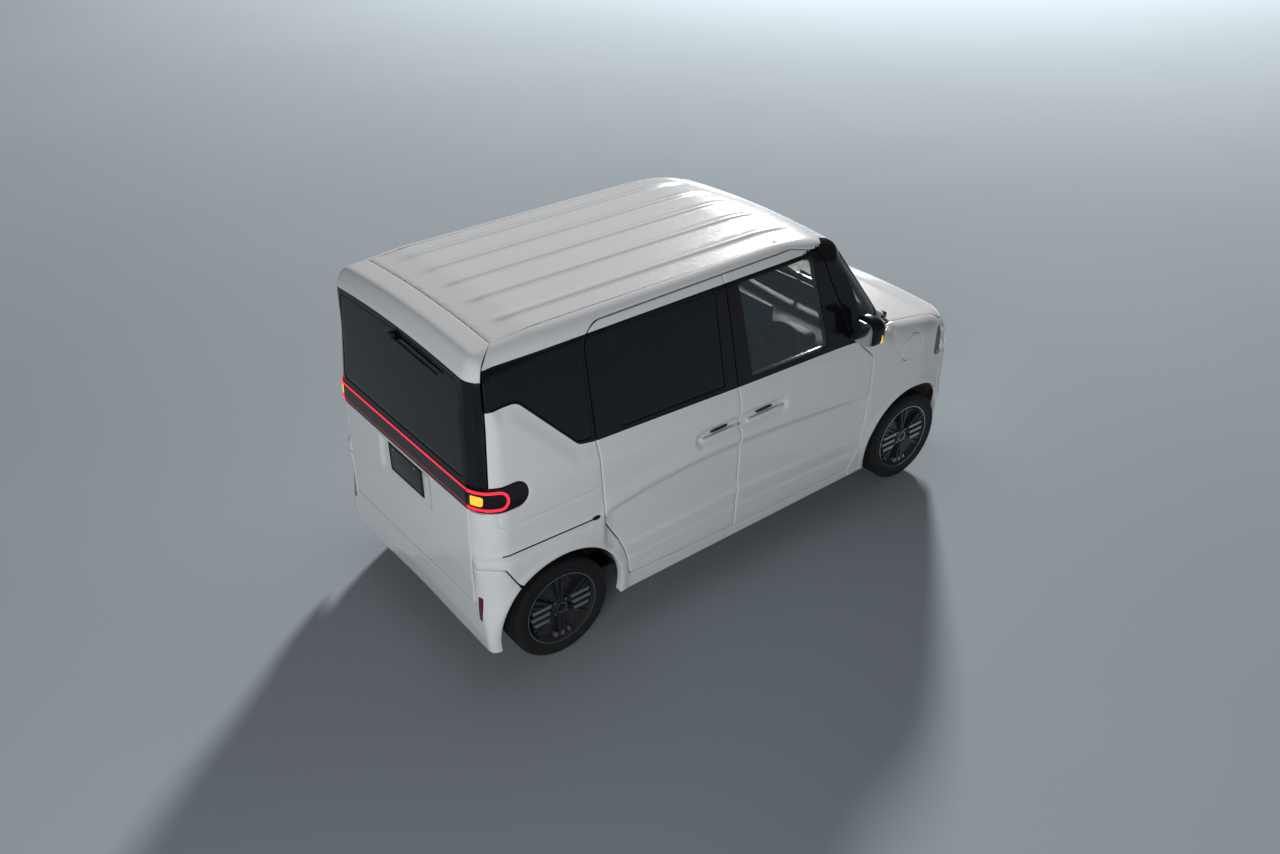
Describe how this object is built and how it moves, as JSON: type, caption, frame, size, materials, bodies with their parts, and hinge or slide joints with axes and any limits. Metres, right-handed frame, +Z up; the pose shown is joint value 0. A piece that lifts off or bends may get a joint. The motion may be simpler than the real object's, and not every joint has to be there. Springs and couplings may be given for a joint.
{
  "type": "kei-class electric passenger car",
  "caption": "Boxy high-roof kei-class electric passenger car with hinged front doors, sliding rear doors, lift-up tailgate and right-hand drive.",
  "frame": {"origin": "on the ground, under the middle of the car's bounding box", "axes": "+X points forwards along the car, +Y to the car's left, +Z up"},
  "size_m": [3.395, 1.825, 1.8],
  "materials": {
    "paint_white": "pearl gloss",
    "paint_black": "gloss",
    "glass_clear": "clear with a light tint",
    "glass_dark": "dark privacy tint",
    "black_plastic": "grained",
    "tyre_rubber": "matt",
    "wheel_alloy": "satin dark",
    "chassis_steel": "matt black",
    "battery_case": "satin",
    "cast_housing": "cast",
    "knuckle_iron": "cast",
    "seat_fabric": "woven dark grey",
    "dash_plastic": "grained soft",
    "lamp_red": "clear red lens",
    "lamp_clear": "clear lens"
  },
  "bodies": {
    "body": {"body_side_right": "paint_white", "body_side_left": "paint_white", "roof_panel": "paint_white", "fender_right": "paint_white", "fender_left": "paint_white", "charge_inlet": "black_plastic", "front_bumper": "paint_white", "grille": "black_plastic", "rear_bumper": "paint_white", "sliding_door_right": "paint_white", "sliding_door_left": "paint_white", "sliding_door_glass": "glass_dark", "rear_quarter_glass": "glass_dark", "front_quarter_glass": "glass_clear", "windscreen": "glass_clear", "headlamps": "lamp_clear", "tail_lamps": "lamp_red", "front_wipers": "black_plastic", "floor_pan": "chassis_steel", "battery_pack": "battery_case", "drive_unit": "cast_housing", "front_suspension": "chassis_steel", "rear_suspension": "chassis_steel", "wheelhouses": "black_plastic", "bulkhead": "chassis_steel", "front_seats": "seat_fabric", "rear_bench": "seat_fabric", "dashboard": "dash_plastic"},
    "bonnet": {"bonnet": "paint_white"},
    "tailgate": {"tailgate": "paint_white", "tailgate_glass": "glass_dark", "light_bar": "lamp_red", "rear_wiper": "black_plastic"},
    "charge_lid": {"charge_lid": "paint_white"},
    "steering_wheel": {"steering_wheel": "dash_plastic"},
    "front_door_right": {"front_door_right": "paint_white", "front_door_glass_right": "glass_clear", "door_mirror_right": "paint_black"},
    "knuckle_right": {"knuckle_right": "knuckle_iron"},
    "wheel_front_right": {"wheel_front_right": "wheel_alloy", "tyre_front_right": "tyre_rubber"},
    "wheel_rear_right": {"wheel_rear_right": "wheel_alloy", "tyre_rear_right": "tyre_rubber"},
    "front_door_left": {"front_door_left": "paint_white", "front_door_glass_left": "glass_clear", "door_mirror_left": "paint_black"},
    "knuckle_left": {"knuckle_left": "knuckle_iron"},
    "wheel_front_left": {"wheel_front_left": "wheel_alloy", "tyre_front_left": "tyre_rubber"},
    "wheel_rear_left": {"wheel_rear_left": "wheel_alloy", "tyre_rear_left": "tyre_rubber"}
  },
  "joints": [
    {"name": "front_door_right_hinge", "type": "hinge", "parent": "body", "child": "front_door_right", "pos_m": [0.806, -0.7255, 0.71], "axis": [0, 0, 1], "range_deg": [0, 65]},
    {"name": "steering_right", "type": "hinge", "parent": "body", "child": "knuckle_right", "pos_m": [1.2375, -0.52, 0.281], "axis": [0, 0, 1], "range_deg": [-35, 35]},
    {"name": "wheel_front_right_spin", "type": "hinge", "parent": "knuckle_right", "child": "wheel_front_right", "pos_m": [1.2375, -0.6395, 0.281], "axis": [0, 1, 0], "continuous": true},
    {"name": "wheel_rear_right_spin", "type": "hinge", "parent": "body", "child": "wheel_rear_right", "pos_m": [-1.2775, -0.6395, 0.281], "axis": [0, 1, 0], "continuous": true},
    {"name": "front_door_left_hinge", "type": "hinge", "parent": "body", "child": "front_door_left", "pos_m": [0.806, 0.7255, 0.71], "axis": [0, 0, -1], "range_deg": [0, 65]},
    {"name": "steering_left", "type": "hinge", "parent": "body", "child": "knuckle_left", "pos_m": [1.2375, 0.52, 0.281], "axis": [0, 0, 1], "range_deg": [-35, 35]},
    {"name": "wheel_front_left_spin", "type": "hinge", "parent": "knuckle_left", "child": "wheel_front_left", "pos_m": [1.2375, 0.6395, 0.281], "axis": [0, 1, 0], "continuous": true},
    {"name": "wheel_rear_left_spin", "type": "hinge", "parent": "body", "child": "wheel_rear_left", "pos_m": [-1.2775, 0.6395, 0.281], "axis": [0, 1, 0], "continuous": true},
    {"name": "bonnet_hinge", "type": "hinge", "parent": "body", "child": "bonnet", "pos_m": [1.12, 0, 1.101], "axis": [0, -1, 0], "range_deg": [0, 50]},
    {"name": "tailgate_hinge", "type": "hinge", "parent": "body", "child": "tailgate", "pos_m": [-1.5195, 0, 1.767], "axis": [0, 1, 0], "range_deg": [0, 78]},
    {"name": "charge_lid_hinge", "type": "hinge", "parent": "body", "child": "charge_lid", "pos_m": [1.2525, -0.732, 0.958], "axis": [0, 0, 1], "range_deg": [0, 70]},
    {"name": "steering_wheel_turn", "type": "hinge", "parent": "body", "child": "steering_wheel", "pos_m": [0.4745, -0.345, 0.96], "axis": [-0.8829, 0, 0.4695], "range_deg": [-490, 490]}
  ],
  "couplings": [
    {"joint": "steering_left", "follows": "steering_right", "ratio": 1},
    {"joint": "steering_wheel_turn", "follows": "steering_right", "ratio": 14}
  ]
}
